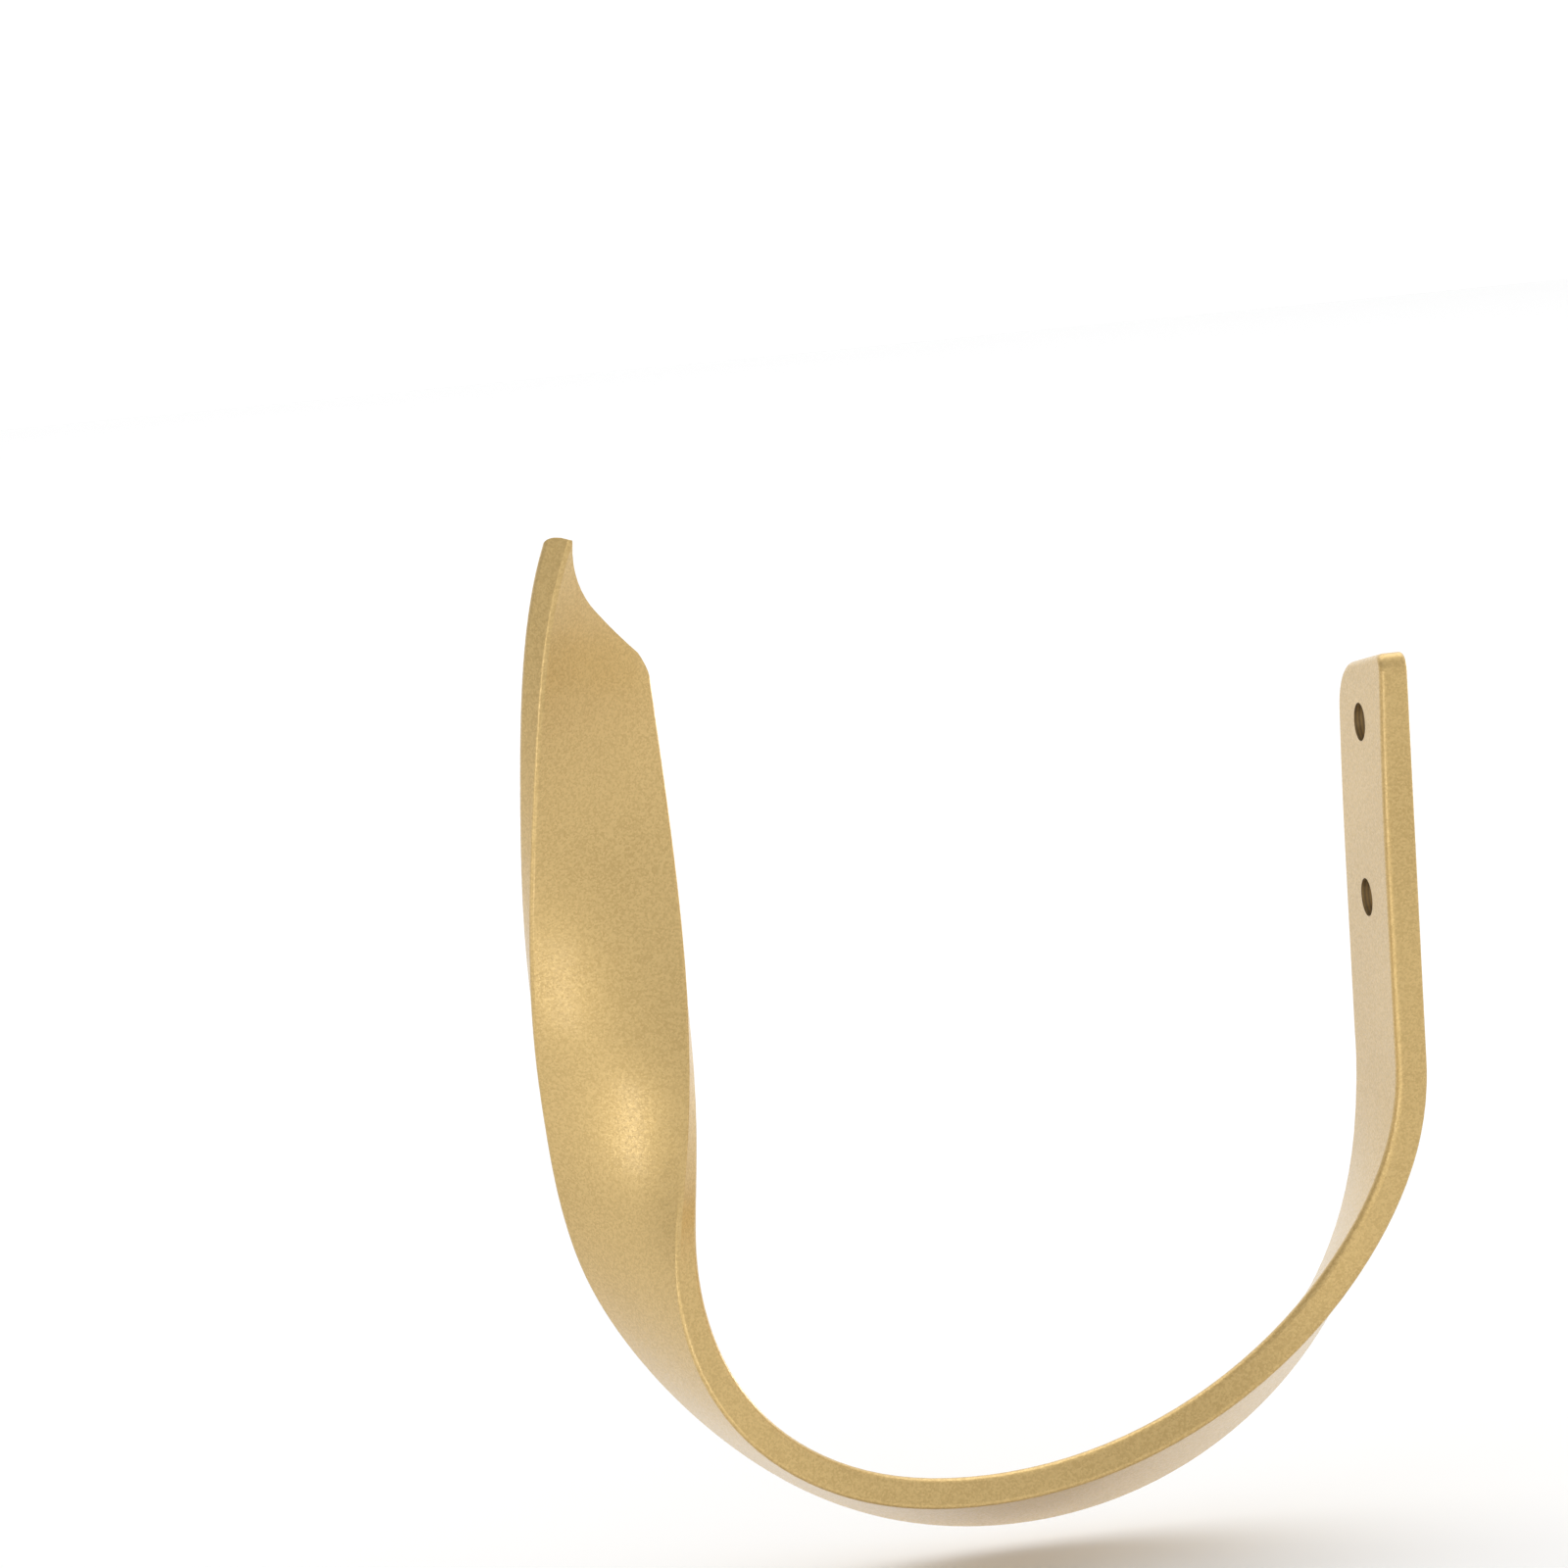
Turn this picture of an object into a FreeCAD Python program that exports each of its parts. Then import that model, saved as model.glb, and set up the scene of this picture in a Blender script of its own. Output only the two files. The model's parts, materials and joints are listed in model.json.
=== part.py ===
# Curtain holdback: one flat metal bar, bent into an upright hook and twisted along its length.
# The straight leg screws to the wall and the free arm ends in a slanted, pointed tip.
# Frame: wall face of the leg in the plane X = 0, +X into the wall, +Z up, origin midway between the holes.
import FreeCAD
import Part
import Sketcher
import math
import os

NODE = "holdback"

# Driving dimensions, in millimetres and degrees
SIZES = {
    "bar_width": 20.0,
    "bar_thickness": 4.1,
    "inner_edge_radius": 1.0,
    "outer_edge_radius": 0.5,
    "leg_above_origin": 22.5,
    "leg_below_origin": 32.5,
    "leg_end_thickness": 3.5,
    "leg_taper_length": 30.0,
    "leg_end_angle": 14.0,
    "far_corner_radius": 7.0,
    "near_corner_radius": 2.0,
    "screw_hole_spacing": 23.4,
    "screw_hole_diameter": 5.0,
    "first_bend_radius": 57.0,
    "first_bend_angle": 102.0,
    "second_bend_radius": 46.7,
    "second_bend_angle": 80.5,
    "arm_length": 65.4,
    "tip_bend_radius": 100.0,
    "tip_length": 21.7,
    "tip_cut_angle": 30.0,
    "tip_hollow_radius": 24.0,
    "tip_hollow_width": 9.3,
    "tip_blunt": 0.6,
    "tip_end_radius": 3.0,
    "tip_corner_radius": 9.0,
    "twist_first_quarter": -14.5,
    "twist_first_late": -32.0,
    "twist_first_end": -24.3,
    "twist_second_middle": -13.9,
    "twist_second_end": -45.0,
    "twist_arm_middle": -91.6,
    "twist_tip": -144.0,
    "twist_along_tip": -16.8,
}

# Shares of the first bend's length at which its first two twist angles are reached
FIRST_QUARTER = 0.25
FIRST_LATE = 0.6
# Number of equal steps between the sections that the twisted stretch is lofted through
SECTION_STEPS = 28
# Share of the bar's width that the loft runs on past the tip, for the tip to be cut from it
LOFT_OVERRUN = 0.25
# Shares of the bar's width that a cutting outline starts outside the bar's edge and reaches past it
CUT_OVERRUN = 0.005
CUT_MARGIN = 0.5
# Depth of the tip's cuts in widths of the bar, and of the leg's cuts in thicknesses, both sides together
TIP_CUT_DEPTH = 2
LEG_CUT_DEPTH = 3
# Share of the blunt corner's radius that its cutting outline runs on along the slanted cut
CORNER_RUN = 0.2
# Halvings of the search for the place where the slanted cut leaves the bar's near edge
HALVINGS = 40
# Distance below which two places count as one, and the most that a face may turn away from a side it faces
SAME_PLACE = 1e-6
FACING_ANGLE = 45

UP = FreeCAD.Vector(0, 0, 1)
SIDEWAYS = FreeCAD.Vector(0, 1, 0)

doc = FreeCAD.newDocument("CurtainHoldback")


# Spreadsheet of the driving dimensions
def add_sheet():
    table = doc.addObject("Spreadsheet::Sheet", "Sizes")
    for row, (name, value) in enumerate(SIZES.items(), start=1):
        table.set(f"A{row}", name)
        table.set(f"B{row}", str(value))
        table.setAlias(f"B{row}", name)
    doc.recompute()
    return table


sheet = add_sheet()


def size(name):
    return float(sheet.get(name))


# Centre line of the outer face: straight leg, two bends, straight arm and tip bend, all in the plane Y = 0
def path_stretches():
    first_radius = size("first_bend_radius")
    second_radius = size("second_bend_radius")
    return [
        (size("leg_above_origin") + size("leg_below_origin"), 0.0),
        (first_radius * math.radians(size("first_bend_angle")), 1 / first_radius),
        (second_radius * math.radians(size("second_bend_angle")), 1 / second_radius),
        (size("arm_length"), 0.0),
        (size("tip_length") + LOFT_OVERRUN * size("bar_width"), 1 / size("tip_bend_radius")),
    ]


def stretch_ends():
    ends = [0.0]
    for length, _ in path_stretches():
        ends.append(ends[-1] + length)
    return ends


def path_point(distance):
    """Point of the centre line and its direction angle: 0 is straight down, 90 degrees away from the wall."""
    x, z, angle = 0.0, size("leg_above_origin"), 0.0
    left = distance
    for length, curvature in path_stretches():
        step = min(left, length)
        if curvature == 0.0:
            x -= math.sin(angle) * step
            z -= math.cos(angle) * step
        else:
            turned = angle + curvature * step
            x += (math.cos(turned) - math.cos(angle)) / curvature
            z -= (math.sin(turned) - math.sin(angle)) / curvature
            angle = turned
        left -= step
        if left <= 0.0:
            break
    return FreeCAD.Vector(x, 0, z), angle


# Distances along the bar at which its stretches and its tip end
LEG_END, FIRST_END, SECOND_END, ARM_END = stretch_ends()[1:5]
TIP_END = ARM_END + size("tip_length")
TIP_TWIST_RATE = size("twist_along_tip") / size("tip_length")


def twist_law():
    """Smooth curve of the twist angle over the distance along the bar."""
    first_length = FIRST_END - LEG_END
    stations = [
        (LEG_END, 0.0),
        (LEG_END + FIRST_QUARTER * first_length, size("twist_first_quarter")),
        (LEG_END + FIRST_LATE * first_length, size("twist_first_late")),
        (FIRST_END, size("twist_first_end")),
        ((FIRST_END + SECOND_END) / 2, size("twist_second_middle")),
        (SECOND_END, size("twist_second_end")),
        ((SECOND_END + ARM_END) / 2, size("twist_arm_middle")),
        (TIP_END, size("twist_tip")),
    ]
    curve = Part.BSplineCurve()
    curve.interpolate(
        Points=[FreeCAD.Vector(distance, angle, 0) for distance, angle in stations],
        Parameters=[distance for distance, _ in stations],
        InitialTangent=FreeCAD.Vector(1, 0, 0),
        FinalTangent=FreeCAD.Vector(1, TIP_TWIST_RATE, 0),
        Scale=False,
    )
    return curve


TWIST = twist_law()


def twist_angle(distance):
    if distance <= LEG_END:
        return 0.0
    if distance >= TIP_END:
        return size("twist_tip") + TIP_TWIST_RATE * (distance - TIP_END)
    return TWIST.value(distance).y


def bar_frame(distance):
    """Centre of the outer face with the directions along, across and into the bar there."""
    centre, angle = path_point(distance)
    along = FreeCAD.Vector(-math.sin(angle), 0, -math.cos(angle))
    turn = math.radians(twist_angle(distance))
    flat_inward = SIDEWAYS.cross(along)
    across = SIDEWAYS * math.cos(turn) + flat_inward * math.sin(turn)
    inward = flat_inward * math.cos(turn) - SIDEWAYS * math.sin(turn)
    return centre, along, across, inward


# Small helpers for sketches and features
def bind(feature, target, formula):
    feature.setExpression(target, formula)


def constrain(sketch, kind, *references, name=None, formula=None):
    index = sketch.addConstraint(Sketcher.Constraint(kind, *references))
    if name:
        sketch.renameConstraint(index, name)
        bind(sketch, f"Constraints.{name}", formula)


def origin_plane(body, role):
    return next(plane for plane in body.Origin.OriginFeatures if plane.Role == role)


def attached_sketch(body, name, role):
    sketch = body.newObject("Sketcher::SketchObject", name)
    sketch.AttachmentSupport = [(origin_plane(body, role), "")]
    sketch.MapMode = "FlatFace"
    return sketch


def placed_sketch(body, name, centre, x_axis, y_axis):
    sketch = body.newObject("Sketcher::SketchObject", name)
    turn = FreeCAD.Rotation(x_axis, y_axis, x_axis.cross(y_axis), "XYZ")
    sketch.Placement = FreeCAD.Placement(centre, turn)
    return sketch


def line(start, end):
    return Part.LineSegment(FreeCAD.Vector(*start, 0), FreeCAD.Vector(*end, 0))


def arc(centre, radius, start_degrees, end_degrees):
    circle = Part.Circle(FreeCAD.Vector(*centre, 0), UP, radius)
    return Part.ArcOfCircle(circle, math.radians(start_degrees), math.radians(end_degrees))


def edge_names(feature, wanted):
    return [f"Edge{number}" for number, edge in enumerate(feature.Shape.Edges, start=1) if wanted(edge)]


def add_fillet(body, name, base, edges, radius_cell):
    fillet = body.newObject("PartDesign::Fillet", name)
    fillet.Base = (base, edges)
    bind(fillet, "Radius", f"Sizes.{radius_cell}")
    doc.recompute()
    return fillet


# Straight leg: side profile with its thinned end, drawn in the XZ plane and padded to the bar's width
def add_leg(body):
    top = size("leg_above_origin")
    bottom = -size("leg_below_origin")
    thick = size("bar_thickness")
    end_thick = size("leg_end_thickness")
    taper = size("leg_taper_length")
    thinning = thick - end_thick
    radius = (taper ** 2 + thinning ** 2) / (2 * thinning)
    sweep = math.degrees(math.asin(taper / radius))
    sketch = attached_sketch(body, "LegProfile", "XZ_Plane")
    sketch.addGeometry([
        line((0, bottom), (0, top)),
        line((0, top), (-end_thick, top)),
        arc((radius - thick, top - taper), radius, 180 - sweep, 180),
        line((-thick, top - taper), (-thick, bottom)),
        line((-thick, bottom), (0, bottom)),
    ])
    for first, second in ((0, 1), (1, 2), (3, 4), (4, 0)):
        constrain(sketch, "Coincident", first, 2, second, 1)
    constrain(sketch, "Tangent", 2, 2, 3, 1)
    constrain(sketch, "PointOnObject", 0, 1, -2)
    constrain(sketch, "Vertical", 0)
    constrain(sketch, "Vertical", 3)
    constrain(sketch, "Horizontal", 1)
    constrain(sketch, "Horizontal", 4)
    constrain(sketch, "DistanceY", -1, 1, 0, 2, top, name="top", formula="Sizes.leg_above_origin")
    constrain(sketch, "DistanceY", 0, 1, -1, 1, -bottom, name="bottom", formula="Sizes.leg_below_origin")
    constrain(sketch, "DistanceX", 4, 1, 4, 2, thick, name="thickness", formula="Sizes.bar_thickness")
    constrain(sketch, "DistanceX", 1, 2, 1, 1, end_thick, name="end_thickness",
              formula="Sizes.leg_end_thickness")
    constrain(sketch, "DistanceY", 3, 1, 1, 2, taper, name="taper", formula="Sizes.leg_taper_length")
    pad = body.newObject("PartDesign::Pad", "Leg")
    pad.Profile = sketch
    pad.SideType = "Symmetric"
    bind(pad, "Length", "Sizes.bar_width")
    doc.recompute()
    return pad


# Upper end of the leg: a straight cut that falls from the near edge to the far edge
def cut_leg_end(body):
    margin = CUT_MARGIN * size("bar_width")
    reach = size("bar_width") / 2 + margin
    slope = math.tan(math.radians(size("leg_end_angle")))
    high = size("leg_above_origin") + margin * slope
    low = high - 2 * reach * slope
    sketch = attached_sketch(body, "LegEndOutline", "YZ_Plane")
    sketch.addGeometry([
        line((-reach, high), (reach, low)),
        line((reach, low), (reach, high)),
        line((reach, high), (-reach, high)),
    ])
    for first, second in ((0, 1), (1, 2), (2, 0)):
        constrain(sketch, "Coincident", first, 2, second, 1)
    constrain(sketch, "Vertical", 1)
    constrain(sketch, "Horizontal", 2)
    reach_formula = f"Sizes.bar_width * {0.5 + CUT_MARGIN}"
    slope_formula = "tan(Sizes.leg_end_angle * 1 deg)"
    constrain(sketch, "DistanceX", 0, 1, -1, 1, reach, name="near_reach", formula=reach_formula)
    constrain(sketch, "DistanceX", -1, 1, 0, 2, reach, name="far_reach", formula=reach_formula)
    constrain(sketch, "DistanceY", -1, 1, 0, 1, high, name="high",
              formula=f"Sizes.leg_above_origin + Sizes.bar_width * {CUT_MARGIN} * {slope_formula}")
    constrain(sketch, "DistanceY", 1, 1, 1, 2, high - low, name="fall",
              formula=f"2 * {reach_formula} * {slope_formula}")
    return cut_through(body, "LegEnd", sketch, f"Sizes.bar_thickness * {LEG_CUT_DEPTH}")


def is_end_corner(edge, side):
    """True for the edge through the leg's thickness at one corner of its upper end."""
    across = side * size("bar_width") / 2
    fall = (across + size("bar_width") / 2) * math.tan(math.radians(size("leg_end_angle")))
    height = size("leg_above_origin") - fall
    return all(abs(vertex.Z - height) < SAME_PLACE and abs(vertex.Y - across) < SAME_PLACE
               for vertex in edge.Vertexes)


def rim_edges(feature, side):
    """Edges between the face that looks along side times X and the faces round the leg's outline."""
    bottom = -size("leg_below_origin")
    facing = math.cos(math.radians(FACING_ANGLE))
    names = []
    for number, edge in enumerate(feature.Shape.Edges, start=1):
        faces = [face for face in feature.Shape.Faces if any(edge.isSame(other) for other in face.Edges)]
        leans = [face.normalAt(*middle_of(face)).x * side for face in faces]
        at_bottom = edge.BoundBox.ZMax < bottom + SAME_PLACE
        if max(leans) > facing > min(leans) and not at_bottom:
            names.append(f"Edge{number}")
    return names


def middle_of(face):
    low_u, high_u, low_v, high_v = face.ParameterRange
    return (low_u + high_u) / 2, (low_v + high_v) / 2


def round_leg(body, leg):
    far_corner = edge_names(leg, lambda edge: is_end_corner(edge, 1))
    far = add_fillet(body, "FarCorner", leg, far_corner, "far_corner_radius")
    near_corner = edge_names(far, lambda edge: is_end_corner(edge, -1))
    near = add_fillet(body, "NearCorner", far, near_corner, "near_corner_radius")
    inner = add_fillet(body, "LegInnerRim", near, rim_edges(near, -1), "inner_edge_radius")
    return add_fillet(body, "LegOuterRim", inner, rim_edges(inner, 1), "outer_edge_radius")


# Bar section: a rectangle with its outer face on the sketch's X axis and rounded edges
def add_section(body, name, distance):
    half = size("bar_width") / 2
    thick = size("bar_thickness")
    inner = size("inner_edge_radius")
    outer = size("outer_edge_radius")
    centre, _, across, inward = bar_frame(distance)
    sketch = placed_sketch(body, name, centre, across, inward)
    sketch.addGeometry([
        line((outer - half, 0), (half - outer, 0)),
        arc((half - outer, outer), outer, 270, 360),
        line((half, outer), (half, thick - inner)),
        arc((half - inner, thick - inner), inner, 0, 90),
        line((half - inner, thick), (inner - half, thick)),
        arc((inner - half, thick - inner), inner, 90, 180),
        line((-half, thick - inner), (-half, outer)),
        arc((outer - half, outer), outer, 180, 270),
    ])
    for piece in range(8):
        constrain(sketch, "Tangent", piece, 2, (piece + 1) % 8, 1)
    for level in (0, 4):
        constrain(sketch, "Horizontal", level)
    for upright in (2, 6):
        constrain(sketch, "Vertical", upright)
    constrain(sketch, "Equal", 1, 7)
    constrain(sketch, "Equal", 3, 5)
    constrain(sketch, "PointOnObject", 0, 1, -1)
    constrain(sketch, "Radius", 1, outer, name="outer_radius", formula="Sizes.outer_edge_radius")
    constrain(sketch, "Radius", 3, inner, name="inner_radius", formula="Sizes.inner_edge_radius")
    constrain(sketch, "DistanceX", 6, 1, 2, 1, 2 * half, name="width", formula="Sizes.bar_width")
    constrain(sketch, "DistanceX", -1, 1, 2, 1, half, name="half_width", formula="Sizes.bar_width / 2")
    constrain(sketch, "DistanceY", 0, 1, 4, 1, thick, name="thickness", formula="Sizes.bar_thickness")
    return sketch


# Bent and twisted stretch, from the end of the flat leg to a little past the tip
def add_twisted_bar(body):
    reach = TIP_END + LOFT_OVERRUN * size("bar_width") - LEG_END
    sections = []
    for number in range(SECTION_STEPS + 1):
        distance = LEG_END + reach * number / SECTION_STEPS
        sections.append(add_section(body, f"Section{number:02d}", distance))
    doc.recompute()
    loft = body.newObject("PartDesign::AdditiveLoft", "TwistedBar")
    loft.Profile = sections[0]
    loft.Sections = sections[1:]
    doc.recompute()
    return loft


# Slanted tip: a straight cut from the near edge that hollows out towards the point at the far edge
def tip_cut_shape():
    """Start of the hollow, centre of its arc and its last angle, from the bar's far edge at the tip."""
    slant = math.radians(size("tip_cut_angle"))
    radius = size("tip_hollow_radius")
    reach = size("tip_hollow_width") + radius * math.sin(slant)
    centre_y = math.sqrt(radius ** 2 - reach ** 2)
    start = (-size("tip_hollow_width"), centre_y - radius * math.cos(slant))
    last_angle = math.degrees(math.asin((-size("tip_blunt") - centre_y) / radius))
    return start, (-reach, centre_y), last_angle


def tip_cut_frame():
    """Point of the tip on the bar's far edge, with the directions along and across the bar there."""
    centre, along, across, _ = bar_frame(TIP_END)
    return centre + across * (size("bar_width") / 2), along, across


def cut_tip(body):
    width = size("bar_width")
    margin = CUT_MARGIN * width
    radius = size("tip_hollow_radius")
    angle = size("tip_cut_angle")
    slant = math.radians(angle)
    start, hollow, last_angle = tip_cut_shape()
    blunt = size("tip_blunt")
    blunt_x = hollow[0] + radius * math.cos(math.radians(last_angle))
    left = -width - margin
    left_y = start[1] + (left - start[0]) * math.tan(slant)
    point, along, across = tip_cut_frame()
    sketch = placed_sketch(body, "TipOutline", point, across, along)
    sketch.addGeometry([
        line((left, left_y), start),
        arc(hollow, radius, angle - 90, last_angle),
        line((blunt_x, -blunt), (margin, -blunt)),
        line((margin, -blunt), (margin, margin)),
        line((margin, margin), (left, margin)),
        line((left, margin), (left, left_y)),
    ])
    constrain(sketch, "Tangent", 0, 2, 1, 1)
    for first, second in ((1, 2), (2, 3), (3, 4), (4, 5), (5, 0)):
        constrain(sketch, "Coincident", first, 2, second, 1)
    for level in (2, 4):
        constrain(sketch, "Horizontal", level)
    for upright in (3, 5):
        constrain(sketch, "Vertical", upright)
    constrain(sketch, "PointOnObject", -1, 1, 1)
    constrain(sketch, "Angle", -1, 1, 0, 1, slant, name="slant", formula="Sizes.tip_cut_angle * 1 deg")
    constrain(sketch, "Radius", 1, radius, name="hollow_radius", formula="Sizes.tip_hollow_radius")
    constrain(sketch, "DistanceX", 0, 2, -1, 1, -start[0], name="hollow_width",
              formula="Sizes.tip_hollow_width")
    constrain(sketch, "DistanceY", 2, 1, -1, 1, blunt, name="blunt", formula="Sizes.tip_blunt")
    constrain(sketch, "DistanceX", -1, 1, 2, 2, margin, name="right",
              formula=f"Sizes.bar_width * {CUT_MARGIN}")
    constrain(sketch, "DistanceX", 4, 2, -1, 1, -left, name="left",
              formula=f"Sizes.bar_width * {1 + CUT_MARGIN}")
    constrain(sketch, "DistanceY", -1, 1, 4, 1, margin, name="beyond",
              formula=f"Sizes.bar_width * {CUT_MARGIN}")
    return cut_through(body, "SlantedTip", sketch, f"Sizes.bar_width * {TIP_CUT_DEPTH}")


def near_edge(distance):
    centre, _, across, _ = bar_frame(distance)
    return centre - across * (size("bar_width") / 2)


def blunt_corner_place():
    """Distance along the bar at which the straight cut leaves the near edge, and the cut's slant there."""
    point, along, across = tip_cut_frame()
    slant = math.radians(size("tip_cut_angle"))
    start = tip_cut_shape()[0]
    on_cut = point + across * start[0] + along * start[1]
    facing = along * math.cos(slant) - across * math.sin(slant)
    low, high = SECOND_END, TIP_END
    for _ in range(HALVINGS):
        middle = (low + high) / 2
        if facing.dot(near_edge(middle) - on_cut) < 0:
            low = middle
        else:
            high = middle
    _, along, across, inward = bar_frame(low)
    run = facing.cross(inward)
    return low, math.atan2(run.dot(along), run.dot(across))


# Blunt corner of the tip: the waste outside an arc from the bar's near edge to the slanted cut
def cut_blunt_corner(body):
    overrun = CUT_OVERRUN * size("bar_width")
    margin = CUT_MARGIN * size("bar_width")
    radius = size("tip_corner_radius")
    vertex, slant = blunt_corner_place()
    setback = (radius - overrun) * (1 - math.sin(slant)) / math.cos(slant)
    arc_end = (radius * (1 - math.sin(slant)) - overrun, radius * math.cos(slant))
    run = CORNER_RUN * radius
    line_end = (arc_end[0] + run, arc_end[1] + run * math.tan(slant))
    beyond = line_end[1] + margin
    _, along, across, _ = bar_frame(vertex - setback)
    sketch = placed_sketch(body, "CornerOutline", near_edge(vertex - setback), across, along)
    sketch.addGeometry([
        arc((radius - overrun, 0), radius, 90 + math.degrees(slant), 180),
        line((-overrun, 0), (-margin, 0)),
        line((-margin, 0), (-margin, beyond)),
        line((-margin, beyond), (line_end[0], beyond)),
        line((line_end[0], beyond), line_end),
        line(line_end, arc_end),
    ])
    for piece in range(5):
        constrain(sketch, "Coincident", piece, 2, piece + 1, 1)
    constrain(sketch, "Tangent", 5, 2, 0, 1)
    for level in (1, 3):
        constrain(sketch, "Horizontal", level)
    for upright in (2, 4):
        constrain(sketch, "Vertical", upright)
    constrain(sketch, "PointOnObject", 0, 2, -1)
    constrain(sketch, "PointOnObject", 0, 3, -1)
    constrain(sketch, "Angle", -1, 1, 5, 2, slant)
    constrain(sketch, "Radius", 0, radius, name="corner_radius", formula="Sizes.tip_corner_radius")
    constrain(sketch, "DistanceX", 0, 2, -1, 1, overrun, name="overrun",
              formula=f"Sizes.bar_width * {CUT_OVERRUN}")
    constrain(sketch, "DistanceX", 1, 2, -1, 1, margin, name="left", formula=f"Sizes.bar_width * {CUT_MARGIN}")
    constrain(sketch, "DistanceX", 5, 2, 5, 1, run, name="run",
              formula=f"Sizes.tip_corner_radius * {CORNER_RUN}")
    constrain(sketch, "DistanceY", 4, 2, 4, 1, margin, name="beyond",
              formula=f"Sizes.bar_width * {CUT_MARGIN}")
    return cut_through(body, "BluntCorner", sketch, f"Sizes.bar_width * {TIP_CUT_DEPTH}")


# Rounded end of the point, seen from the side: the waste outside an arc from the inner face to the blunt end
def round_tip_end(body):
    overrun = CUT_OVERRUN * size("bar_width")
    margin = CUT_MARGIN * size("bar_width")
    radius = size("tip_end_radius")
    depth = size("bar_thickness") + overrun
    centre, along, across, inward = bar_frame(TIP_END - size("tip_blunt") - radius + 2 * overrun)
    far_edge = centre + across * (size("bar_width") / 2)
    sketch = placed_sketch(body, "TipEndOutline", far_edge, inward, along)
    sketch.addGeometry([
        arc((depth - radius, 0), radius, 0, 90),
        line((depth - radius, radius), (depth - radius, margin)),
        line((depth - radius, margin), (depth + margin, margin)),
        line((depth + margin, margin), (depth + margin, 0)),
        line((depth + margin, 0), (depth, 0)),
    ])
    for first, second in ((0, 1), (1, 2), (2, 3), (3, 4), (4, 0)):
        constrain(sketch, "Coincident", first, 2, second, 1)
    constrain(sketch, "Vertical", 0, 2, 0, 3)
    for upright in (1, 3):
        constrain(sketch, "Vertical", upright)
    constrain(sketch, "Horizontal", 2)
    for first, point in ((0, 1), (0, 3), (3, 2)):
        constrain(sketch, "PointOnObject", first, point, -1)
    constrain(sketch, "Radius", 0, radius, name="end_radius", formula="Sizes.tip_end_radius")
    constrain(sketch, "DistanceX", -1, 1, 0, 1, depth, name="depth",
              formula=f"Sizes.bar_thickness + Sizes.bar_width * {CUT_OVERRUN}")
    constrain(sketch, "DistanceX", 0, 1, 3, 2, margin, name="deep", formula=f"Sizes.bar_width * {CUT_MARGIN}")
    constrain(sketch, "DistanceY", -1, 1, 2, 1, margin, name="beyond",
              formula=f"Sizes.bar_width * {CUT_MARGIN}")
    return cut_through(body, "TipEnd", sketch, f"Sizes.bar_width * {TIP_CUT_DEPTH}")


def cut_through(body, name, sketch, length_formula):
    pocket = body.newObject("PartDesign::Pocket", name)
    pocket.Profile = sketch
    pocket.SideType = "Symmetric"
    bind(pocket, "Length", length_formula)
    doc.recompute()
    return pocket


# Two plain screw holes through the leg
def drill_leg(body):
    spacing = size("screw_hole_spacing")
    radius = size("screw_hole_diameter") / 2
    sketch = attached_sketch(body, "ScrewHoles", "YZ_Plane")
    for side in (1, -1):
        sketch.addGeometry(Part.Circle(FreeCAD.Vector(0, side * spacing / 2, 0), UP, radius))
    constrain(sketch, "PointOnObject", 0, 3, -2)
    constrain(sketch, "Equal", 0, 1)
    constrain(sketch, "Symmetric", 0, 3, 1, 3, -1, 1)
    constrain(sketch, "DistanceY", 1, 3, 0, 3, spacing, name="spacing", formula="Sizes.screw_hole_spacing")
    constrain(sketch, "Diameter", 0, 2 * radius, name="diameter", formula="Sizes.screw_hole_diameter")
    return cut_through(body, "ScrewHoleCut", sketch, f"Sizes.bar_thickness * {LEG_CUT_DEPTH}")


def check_cut(before, after):
    if abs(after.Shape.Area - before.Shape.Area) < SAME_PLACE:
        raise RuntimeError(f"{after.Name} cut nothing away")


def check_document():
    for item in doc.Objects:
        if "Invalid" in item.State or "Error" in item.State:
            raise RuntimeError(f"{item.Name} failed: {item.State}")


def build_holdback():
    body = doc.addObject("PartDesign::Body", "Holdback")
    body.Label = NODE
    leg = add_leg(body)
    slanted = cut_leg_end(body)
    round_leg(body, slanted)
    bar = add_twisted_bar(body)
    pointed = cut_tip(body)
    cornered = cut_blunt_corner(body)
    tip = round_tip_end(body)
    drilled = drill_leg(body)
    check_cut(leg, slanted)
    check_cut(bar, pointed)
    check_cut(pointed, cornered)
    check_cut(cornered, tip)
    check_cut(tip, drilled)
    return body


holdback = build_holdback()
doc.recompute()
check_document()
if holdback.Shape.isNull() or not holdback.Shape.isValid():
    raise RuntimeError("the holdback's shape is not valid")
print("volume", holdback.Shape.Volume, "solids", len(holdback.Shape.Solids), holdback.Shape.BoundBox)
os.makedirs("parts", exist_ok=True)
holdback.Shape.exportStep(f"parts/{holdback.Label}.step")
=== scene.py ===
import json
import math
from typing import NamedTuple

import bpy
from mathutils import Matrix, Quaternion, Vector


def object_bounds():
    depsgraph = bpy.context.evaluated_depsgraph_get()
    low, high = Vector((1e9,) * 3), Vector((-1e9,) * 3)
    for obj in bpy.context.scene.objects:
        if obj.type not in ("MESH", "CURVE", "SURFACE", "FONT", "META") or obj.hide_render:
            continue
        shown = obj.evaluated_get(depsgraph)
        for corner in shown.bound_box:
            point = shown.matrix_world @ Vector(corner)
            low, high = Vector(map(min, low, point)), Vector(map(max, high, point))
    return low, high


bl_info = {
    "name": "Curtain holdback",
    "version": (1, 0, 0),
    "blender": (4, 5, 0),
    "location": "3D View > Sidebar > Holdback",
    "description": "Paints a twisted curtain holdback in satin gold and sets it in a plain studio",
    "category": "Object",
}

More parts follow.
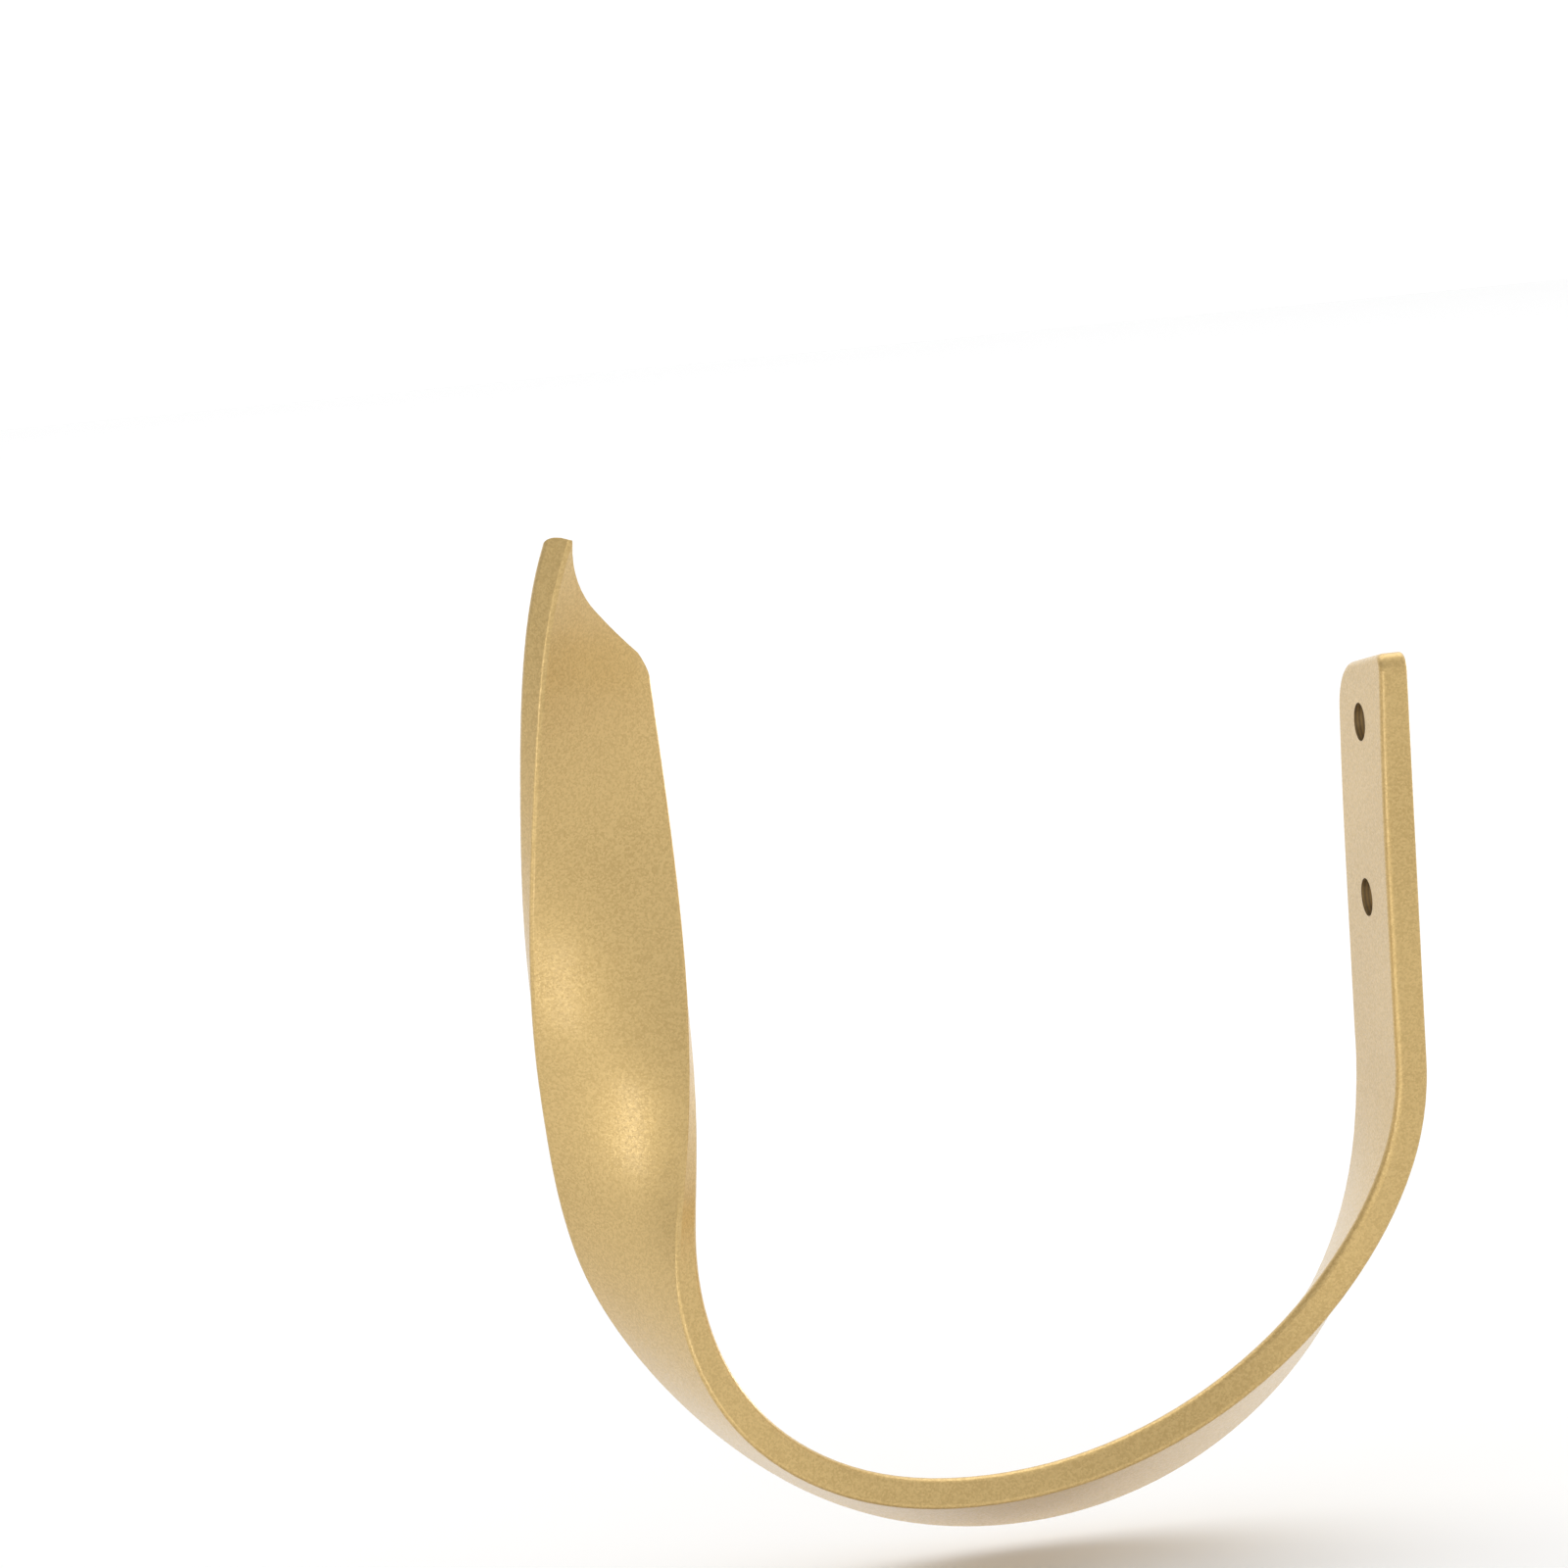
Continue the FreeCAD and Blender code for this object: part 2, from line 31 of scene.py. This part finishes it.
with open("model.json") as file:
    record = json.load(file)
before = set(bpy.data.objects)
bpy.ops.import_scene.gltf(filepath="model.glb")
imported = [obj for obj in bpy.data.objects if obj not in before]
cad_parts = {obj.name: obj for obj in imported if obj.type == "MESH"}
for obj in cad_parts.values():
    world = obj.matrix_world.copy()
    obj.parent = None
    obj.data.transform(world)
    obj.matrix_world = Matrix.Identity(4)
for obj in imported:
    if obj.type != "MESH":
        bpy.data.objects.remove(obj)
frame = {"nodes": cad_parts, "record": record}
CAD_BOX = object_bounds()

NODE = "holdback"
MILLIMETRE = 0.001
NODE_SPACING = 220
SENSOR_WIDTH_MM = 36.0
WHOLE_BAND = (0.0, 1.0)
WAVE_BAND = (-1.0, 1.0)

# Screw holes, from the record's bolt pattern
SCREW_HOLES = next(mount for mount in frame["record"]["mounts"] if mount["kind"] == "bolt_pattern")["dims"]
HOLE_HEIGHT = SCREW_HOLES["spacing_y_mm"] * MILLIMETRE / 2
HOLE_RADIUS = SCREW_HOLES["hole_r_mm"] * MILLIMETRE
HOLE_MARGIN = 1.008  # share of the radius that the mask reaches, just past a hole's wall
LEG_DEPTH = 4 * HOLE_RADIUS  # deeper than the leg is thick, and short of the arm

# Noise of the sprayed clouds, with the values between which they go from light to dark, and of the fine grain
CLOUD_BAND = (0.3, 0.7)
CLOUD_DETAIL = 1.0
GRAIN_DETAIL = 2.0
FLAKES_PER_GRAIN = 2

# Cosines from the middle of the white wall and of the dim side, and sines of the height above the level,
# between which the room's light changes
WALL_BAND = (-0.35, 0.5)
DIM_BAND = (0.4, 0.95)
HIGH_BAND = (0.15, 0.55)


class Softbox(NamedTuple):
    """Area light that faces the middle of the holdback, in degrees and metres.

    The azimuth is counted from +Y towards +X, and a brightness of 1 shows as white.
    """
    name: str
    azimuth: float
    elevation: float
    distance: float
    width: float
    height: float
    brightness: float


SOFTBOXES = (
    Softbox("left_softbox", azimuth=-124, elevation=-7, distance=0.42,
            width=0.22, height=0.05, brightness=3.0),
    Softbox("right_softbox", azimuth=46, elevation=-3, distance=0.60,
            width=0.22, height=0.06, brightness=6.0),
    Softbox("low_softbox", azimuth=-160, elevation=-24, distance=0.16,
            width=0.09, height=0.02, brightness=2.2),
    Softbox("top_softbox", azimuth=0, elevation=60, distance=1.6,
            width=2.4, height=1.3, brightness=0.95),
)


# Settings of the paint
class HoldbackPaint(bpy.types.PropertyGroup):
    gold: bpy.props.FloatVectorProperty(
        name="Gold", description="Colour of the metallic paint", subtype="COLOR", size=3,
        min=0.0, max=1.0, default=(0.65, 0.460, 0.190))
    # Painted shade on the flakes: the dark gold is the gold in shade, painted at random on flakes that would
    # lie turned away from the light
    shaded_flake_gold: bpy.props.FloatVectorProperty(
        name="Dark gold", description="Colour of the flakes that lie turned away", subtype="COLOR", size=3,
        min=0.0, max=1.0, default=(0.46, 0.308, 0.106))
    flake_shade_share: bpy.props.FloatProperty(
        name="Dark share", description="How far the darkest flake goes to the dark gold", subtype="FACTOR",
        min=0.0, max=1.0, default=0.55)
    metal: bpy.props.FloatProperty(
        name="Metal", description="How metallic the paint is", subtype="FACTOR",
        min=0.0, max=1.0, default=0.92)
    smooth_flake: bpy.props.FloatProperty(
        name="Smooth flake", description="Roughness where the flakes lie flat", subtype="FACTOR",
        min=0.0, max=1.0, default=0.34)
    rough_flake: bpy.props.FloatProperty(
        name="Rough flake", description="Roughness where the flakes stand up", subtype="FACTOR",
        min=0.0, max=1.0, default=0.46)
    lacquer: bpy.props.FloatProperty(
        name="Lacquer", description="Weight of the clear lacquer over the flakes", subtype="FACTOR",
        min=0.0, max=1.0, default=0.5)
    lacquer_roughness: bpy.props.FloatProperty(
        name="Lacquer roughness", description="Roughness of the satin lacquer", subtype="FACTOR",
        min=0.0, max=1.0, default=0.19)
    flake_size: bpy.props.FloatProperty(
        name="Flake size", description="Width of one metal flake", unit="LENGTH", precision=6,
        min=0.00005, max=0.002, default=0.00024)
    grain_height: bpy.props.FloatProperty(
        name="Grain height", description="Height of the paint's fine grain", unit="LENGTH", precision=6,
        min=0.0, max=0.0005, default=0.00002)
    cloud_size: bpy.props.FloatProperty(
        name="Cloud size", description="Width of the soft clouds in the sprayed coat", unit="LENGTH",
        min=0.001, max=0.2, default=0.022)
    cloud_share: bpy.props.FloatProperty(
        name="Cloud share", description="How far the clouds change the paint's tone", subtype="FACTOR",
        min=0.0, max=1.0, default=0.08)
    bare_hole: bpy.props.FloatVectorProperty(
        name="Bare hole", description="Colour of the drilled metal inside the screw holes", subtype="COLOR",
        size=3, min=0.0, max=1.0, default=(0.30, 0.23, 0.14))
    drill_pitch: bpy.props.FloatProperty(
        name="Drill pitch", description="Spacing of the drill's marks inside the screw holes", unit="LENGTH",
        precision=6, min=0.0001, max=0.005, default=0.0005)
    drill_share: bpy.props.FloatProperty(
        name="Drill share", description="How much gold shows between the drill's marks", subtype="FACTOR",
        min=0.0, max=1.0, default=0.45)


# Settings of the studio
class HoldbackStudio(bpy.types.PropertyGroup):
    camera_place: bpy.props.FloatVectorProperty(
        name="Camera place", description="Where the camera stands", subtype="TRANSLATION", unit="LENGTH",
        size=3, default=(-0.17779, -0.60310, 0.13986))
    camera_turn: bpy.props.FloatProperty(
        name="Turn", description="Turn of the view from +Y towards +X", subtype="ANGLE",
        default=math.radians(9.214))
    camera_tilt: bpy.props.FloatProperty(
        name="Tilt", description="Tilt of the view below the horizon", subtype="ANGLE",
        default=math.radians(11.828))
    camera_roll: bpy.props.FloatProperty(
        name="Roll", description="Roll of the camera about its view, clockwise", subtype="ANGLE",
        default=math.radians(4.41))
    lens: bpy.props.FloatProperty(
        name="Lens", description="Focal length on a 36 mm wide sensor", min=10.0, max=500.0, default=112.5)
    floor_size: bpy.props.FloatProperty(
        name="Floor size", description="Width of the paper floor", unit="LENGTH",
        min=0.5, max=50.0, default=2.7)
    floor_gap: bpy.props.FloatProperty(
        name="Floor gap", description="Gap between the hook and the floor", unit="LENGTH", precision=5,
        min=0.0, max=1.0, default=0.003)
    paper: bpy.props.FloatVectorProperty(
        name="Paper", description="Colour of the paper floor", subtype="COLOR", size=3,
        min=0.0, max=1.0, default=(0.93, 0.93, 0.93))
    paper_roughness: bpy.props.FloatProperty(
        name="Paper roughness", description="Roughness of the paper floor", subtype="FACTOR",
        min=0.0, max=1.0, default=0.8)
    backdrop_light: bpy.props.FloatProperty(
        name="Backdrop light", description="Brightness of the white wall behind",
        min=0.0, max=5.0, default=1.2)
    backdrop_turn: bpy.props.FloatProperty(
        name="Backdrop turn", description="Turn of the white wall's middle from +Y towards +X",
        subtype="ANGLE", default=math.radians(40))
    room_light: bpy.props.FloatProperty(
        name="Room light", description="Brightness of the room away from the wall",
        min=0.0, max=5.0, default=0.90)
    dim_turn: bpy.props.FloatProperty(
        name="Dim turn", description="Turn of the room's dim side from +Y towards +X", subtype="ANGLE",
        default=math.radians(-82))
    dim_share: bpy.props.FloatProperty(
        name="Dim share", description="Share of the light that is left on the dim side", subtype="FACTOR",
        min=0.0, max=1.0, default=0.7)
    high_share: bpy.props.FloatProperty(
        name="High share", description="Share of the light that is left high in the room", subtype="FACTOR",
        min=0.0, max=1.0, default=0.85)


def add_node(tree, kind, place, **settings):
    """New node at a column and row of the node editor, with its settings."""
    node = tree.nodes.new(kind)
    node.location = (place[0] * NODE_SPACING, place[1] * NODE_SPACING)
    for name, value in settings.items():
        setattr(node, name, value)
    return node


def add_math(tree, place, operation, first, second=None):
    """Math node on sockets or numbers; gives back its output socket."""
    node = add_node(tree, "ShaderNodeMath", place, operation=operation)
    for slot, value in enumerate((first, second)):
        if isinstance(value, bpy.types.NodeSocket):
            tree.links.new(value, node.inputs[slot])
        elif value is not None:
            node.inputs[slot].default_value = value
    return node.outputs["Value"]


def add_range(tree, place, value, band, low, high):
    """Map Range node, smooth from low to high over a band of values; gives back its output socket."""
    node = add_node(tree, "ShaderNodeMapRange", place, interpolation_type="SMOOTHSTEP")
    tree.links.new(value, node.inputs["Value"])
    node.inputs["From Min"].default_value = band[0]
    node.inputs["From Max"].default_value = band[1]
    node.inputs["To Min"].default_value = low
    node.inputs["To Max"].default_value = high
    return node.outputs["Result"]


def add_mix(tree, place, factor, first, second):
    """Colour mix of two sockets or colours; gives back its output socket."""
    node = add_node(tree, "ShaderNodeMix", place, data_type="RGBA")
    tree.links.new(factor, node.inputs["Factor"])
    for name, value in (("A", first), ("B", second)):
        socket = next(item for item in node.inputs if item.name == name and item.type == "RGBA")
        if isinstance(value, bpy.types.NodeSocket):
            tree.links.new(value, socket)
        else:
            socket.default_value = (*value, 1.0)
    return next(item for item in node.outputs if item.type == "RGBA")


def add_noise(tree, place, position, size, detail):
    """Noise of a given size in metres; gives back its value socket."""
    node = add_node(tree, "ShaderNodeTexNoise", place)
    node.inputs["Scale"].default_value = 1 / size
    node.inputs["Detail"].default_value = detail
    tree.links.new(position, node.inputs["Vector"])
    return node.outputs["Fac"]


def split(tree, place, vector):
    """Output sockets X, Y and Z of a vector socket."""
    node = add_node(tree, "ShaderNodeSeparateXYZ", place)
    tree.links.new(vector, node.inputs["Vector"])
    return node.outputs


# Drilled screw holes: 1 on the walls of the two holes and 0 on the paint
def hole_mask(tree, parts):
    height = add_math(tree, (-4, -4), "ABSOLUTE", parts["Z"])
    from_axis = add_math(tree, (-3, -4), "SUBTRACT", height, HOLE_HEIGHT)
    across = add_math(tree, (-3, -3), "MULTIPLY", parts["Y"], parts["Y"])
    along = add_math(tree, (-3, -5), "MULTIPLY", from_axis, from_axis)
    distance = add_math(tree, (-2, -3), "SQRT", add_math(tree, (-2, -4), "ADD", across, along))
    in_hole = add_math(tree, (-1, -3), "LESS_THAN", distance, HOLE_RADIUS * HOLE_MARGIN)
    on_leg = add_math(tree, (-1, -4), "GREATER_THAN", parts["X"], -LEG_DEPTH)
    return add_math(tree, (0, -3), "MULTIPLY", in_hole, on_leg)


# Drilled metal on the walls of the holes: bare in the drill's ring marks, with a share of gold between them
def drilled_metal(tree, parts, settings):
    turns = add_math(tree, (-3, -6), "MULTIPLY", parts["X"], 2 * math.pi / settings.drill_pitch)
    wave = add_math(tree, (-2, -6), "SINE", turns)
    rings = add_range(tree, (-1, -6), wave, WAVE_BAND, 0.0, settings.drill_share)
    return add_mix(tree, (0, -6), rings, settings.bare_hole, settings.gold)


# Satin gold paint: metal flakes in the gold and in a painted shade of it for flakes turned away from the
# light, under a thin lacquer, with soft clouds from the spraying
def gold_paint(settings):
    material = bpy.data.materials.new("satin_gold_paint")
    material.use_nodes = True
    tree = material.node_tree
    surface = tree.nodes["Principled BSDF"]
    position = add_node(tree, "ShaderNodeTexCoord", (-6, 0)).outputs["Object"]

    flakes = add_node(tree, "ShaderNodeTexVoronoi", (-4, 1), feature="F1")
    flakes.inputs["Scale"].default_value = 1 / settings.flake_size
    tree.links.new(position, flakes.inputs["Vector"])
    tones = add_node(tree, "ShaderNodeSeparateColor", (-3, 1))
    tree.links.new(flakes.outputs["Color"], tones.inputs["Color"])

    clouds = add_noise(tree, (-4, -1), position, settings.cloud_size, CLOUD_DETAIL)
    cloud_tone = add_range(tree, (-3, -1), clouds, CLOUD_BAND, -settings.cloud_share, settings.cloud_share)
    # Painted shade: each flake is darkened at random towards the shaded gold, as if turned away from the
    # light, and the spray clouds are added to it
    flake_shade = add_range(tree, (-2, 1), tones.outputs["Red"], WHOLE_BAND, 0.0, settings.flake_shade_share)
    clouds_and_flake_shade = add_math(tree, (-2, 0), "ADD", cloud_tone, flake_shade)
    painted = add_mix(tree, (-1, 1), clouds_and_flake_shade, settings.gold, settings.shaded_flake_gold)

    parts = split(tree, (-5, -3), position)
    colour = add_mix(tree, (0, 1), hole_mask(tree, parts), painted, drilled_metal(tree, parts, settings))
    tree.links.new(colour, surface.inputs["Base Color"])

    roughness = add_range(tree, (-1, 0), tones.outputs["Green"], WHOLE_BAND,
                          settings.smooth_flake, settings.rough_flake)
    tree.links.new(roughness, surface.inputs["Roughness"])

    grain = add_noise(tree, (-4, 0), position, settings.flake_size * FLAKES_PER_GRAIN, GRAIN_DETAIL)
    bump = add_node(tree, "ShaderNodeBump", (-1, -1))
    bump.inputs["Distance"].default_value = settings.grain_height
    tree.links.new(grain, bump.inputs["Height"])
    tree.links.new(bump.outputs["Normal"], surface.inputs["Normal"])

    surface.inputs["Metallic"].default_value = settings.metal
    surface.inputs["Coat Weight"].default_value = settings.lacquer
    surface.inputs["Coat Roughness"].default_value = settings.lacquer_roughness
    return material


class HOLDBACK_OT_paint(bpy.types.Operator):
    """Give the holdback its satin gold paint"""
    bl_idname = "holdback.paint"
    bl_label = "Paint the holdback"

    def execute(self, context):
        holdback = frame["nodes"][NODE]
        material = gold_paint(context.scene.holdback_paint)
        for slot in holdback.material_slots:
            slot.material = material
        return {"FINISHED"}


def direction_to(azimuth, elevation):
    """Unit vector at an azimuth from +Y towards +X and an elevation above the level, in radians."""
    level = math.cos(elevation)
    return Vector((level * math.sin(azimuth), level * math.cos(azimuth), math.sin(elevation)))


# Camera: the view of the photo
def add_camera(context, settings):
    camera = bpy.data.cameras.new("camera")
    camera.sensor_width = SENSOR_WIDTH_MM
    camera.lens = settings.lens
    view = direction_to(settings.camera_turn, -settings.camera_tilt).to_track_quat("-Z", "Y")
    holder = bpy.data.objects.new("camera", camera)
    holder.location = settings.camera_place
    holder.rotation_mode = "QUATERNION"
    holder.rotation_quaternion = view @ Quaternion((0, 0, 1), -settings.camera_roll)
    context.scene.collection.objects.link(holder)
    context.scene.camera = holder


def add_softbox(context, softbox):
    middle = (Vector(CAD_BOX[0]) + Vector(CAD_BOX[1])) / 2
    outward = direction_to(math.radians(softbox.azimuth), math.radians(softbox.elevation))
    light = bpy.data.lights.new(softbox.name, "AREA")
    light.shape = "RECTANGLE"
    light.size = softbox.width
    light.size_y = softbox.height
    light.energy = softbox.brightness * math.pi * softbox.width * softbox.height
    holder = bpy.data.objects.new(softbox.name, light)
    holder.location = middle + outward * softbox.distance
    holder.rotation_mode = "QUATERNION"
    holder.rotation_quaternion = (-outward).to_track_quat("-Z", "Y")
    holder.visible_camera = False
    context.scene.collection.objects.link(holder)


# White paper
def white_paper(settings):
    material = bpy.data.materials.new("white_paper")
    material.use_nodes = True
    surface = material.node_tree.nodes["Principled BSDF"]
    surface.inputs["Base Color"].default_value = (*settings.paper, 1.0)
    surface.inputs["Roughness"].default_value = settings.paper_roughness
    return material


# Floor: a sheet of paper a little under the hook
def add_floor(context, settings):
    level = CAD_BOX[0][2] - settings.floor_gap
    bpy.ops.mesh.primitive_plane_add(size=settings.floor_size, location=(0.0, 0.0, level))
    floor = context.active_object
    floor.name = "floor"
    floor.data.materials.append(white_paper(settings))


def facing(tree, place, direction, turn):
    """Cosine of the angle between a direction socket and the level direction at a turn from +Y towards +X."""
    node = add_node(tree, "ShaderNodeVectorMath", place, operation="DOT_PRODUCT")
    tree.links.new(direction, node.inputs[0])
    node.inputs[1].default_value = direction_to(turn, 0.0)
    return node.outputs["Value"]


# Room: a white wall behind the object, a plain room round it with one dim side, and less light high up
def add_room(context, settings):
    world = bpy.data.worlds.new("studio")
    world.use_nodes = True
    tree = world.node_tree
    background = tree.nodes["Background"]
    direction = add_node(tree, "ShaderNodeTexCoord", (-5, 0)).outputs["Generated"]
    wall = facing(tree, (-4, 0), direction, settings.backdrop_turn)
    side = facing(tree, (-4, -1), direction, settings.dim_turn)
    height = split(tree, (-4, -2), direction)["Z"]
    wall_level = add_range(tree, (-3, 0), wall, WALL_BAND, settings.room_light, settings.backdrop_light)
    side_level = add_range(tree, (-3, -1), side, DIM_BAND, 1.0, settings.dim_share)
    high_level = add_range(tree, (-3, -2), height, HIGH_BAND, 1.0, settings.high_share)
    level = add_math(tree, (-2, 0), "MULTIPLY", wall_level, side_level)
    strength = add_math(tree, (-1, -1), "MULTIPLY", level, high_level)
    tree.links.new(strength, background.inputs["Strength"])
    background.inputs["Color"].default_value = (1.0, 1.0, 1.0, 1.0)
    context.scene.world = world


class HOLDBACK_OT_stage(bpy.types.Operator):
    """Add the floor, the room, the lights and the camera"""
    bl_idname = "holdback.stage"
    bl_label = "Set the stage"

    def execute(self, context):
        settings = context.scene.holdback_studio
        add_floor(context, settings)
        add_room(context, settings)
        for softbox in SOFTBOXES:
            add_softbox(context, softbox)
        add_camera(context, settings)
        context.scene.view_settings.view_transform = "Standard"
        return {"FINISHED"}


class HOLDBACK_PT_sidebar(bpy.types.Panel):
    """Settings and steps of the holdback in the sidebar"""
    bl_label = "Holdback"
    bl_idname = "HOLDBACK_PT_sidebar"
    bl_space_type = "VIEW_3D"
    bl_region_type = "UI"
    bl_category = "Holdback"

    def draw(self, context):
        for settings in (context.scene.holdback_paint, context.scene.holdback_studio):
            for name in settings.bl_rna.properties.keys():
                if name not in {"rna_type", "name"}:
                    self.layout.prop(settings, name)
        self.layout.operator("holdback.paint")
        self.layout.operator("holdback.stage")


CLASSES = (HoldbackPaint, HoldbackStudio, HOLDBACK_OT_paint, HOLDBACK_OT_stage, HOLDBACK_PT_sidebar)


def register():
    for item in CLASSES:
        bpy.utils.register_class(item)
    bpy.types.Scene.holdback_paint = bpy.props.PointerProperty(type=HoldbackPaint)
    bpy.types.Scene.holdback_studio = bpy.props.PointerProperty(type=HoldbackStudio)


def unregister():
    del bpy.types.Scene.holdback_studio
    del bpy.types.Scene.holdback_paint
    for item in reversed(CLASSES):
        bpy.utils.unregister_class(item)


def main():
    register()
    bpy.ops.holdback.paint()
    bpy.ops.holdback.stage()


if __name__ == "__main__":
    main()
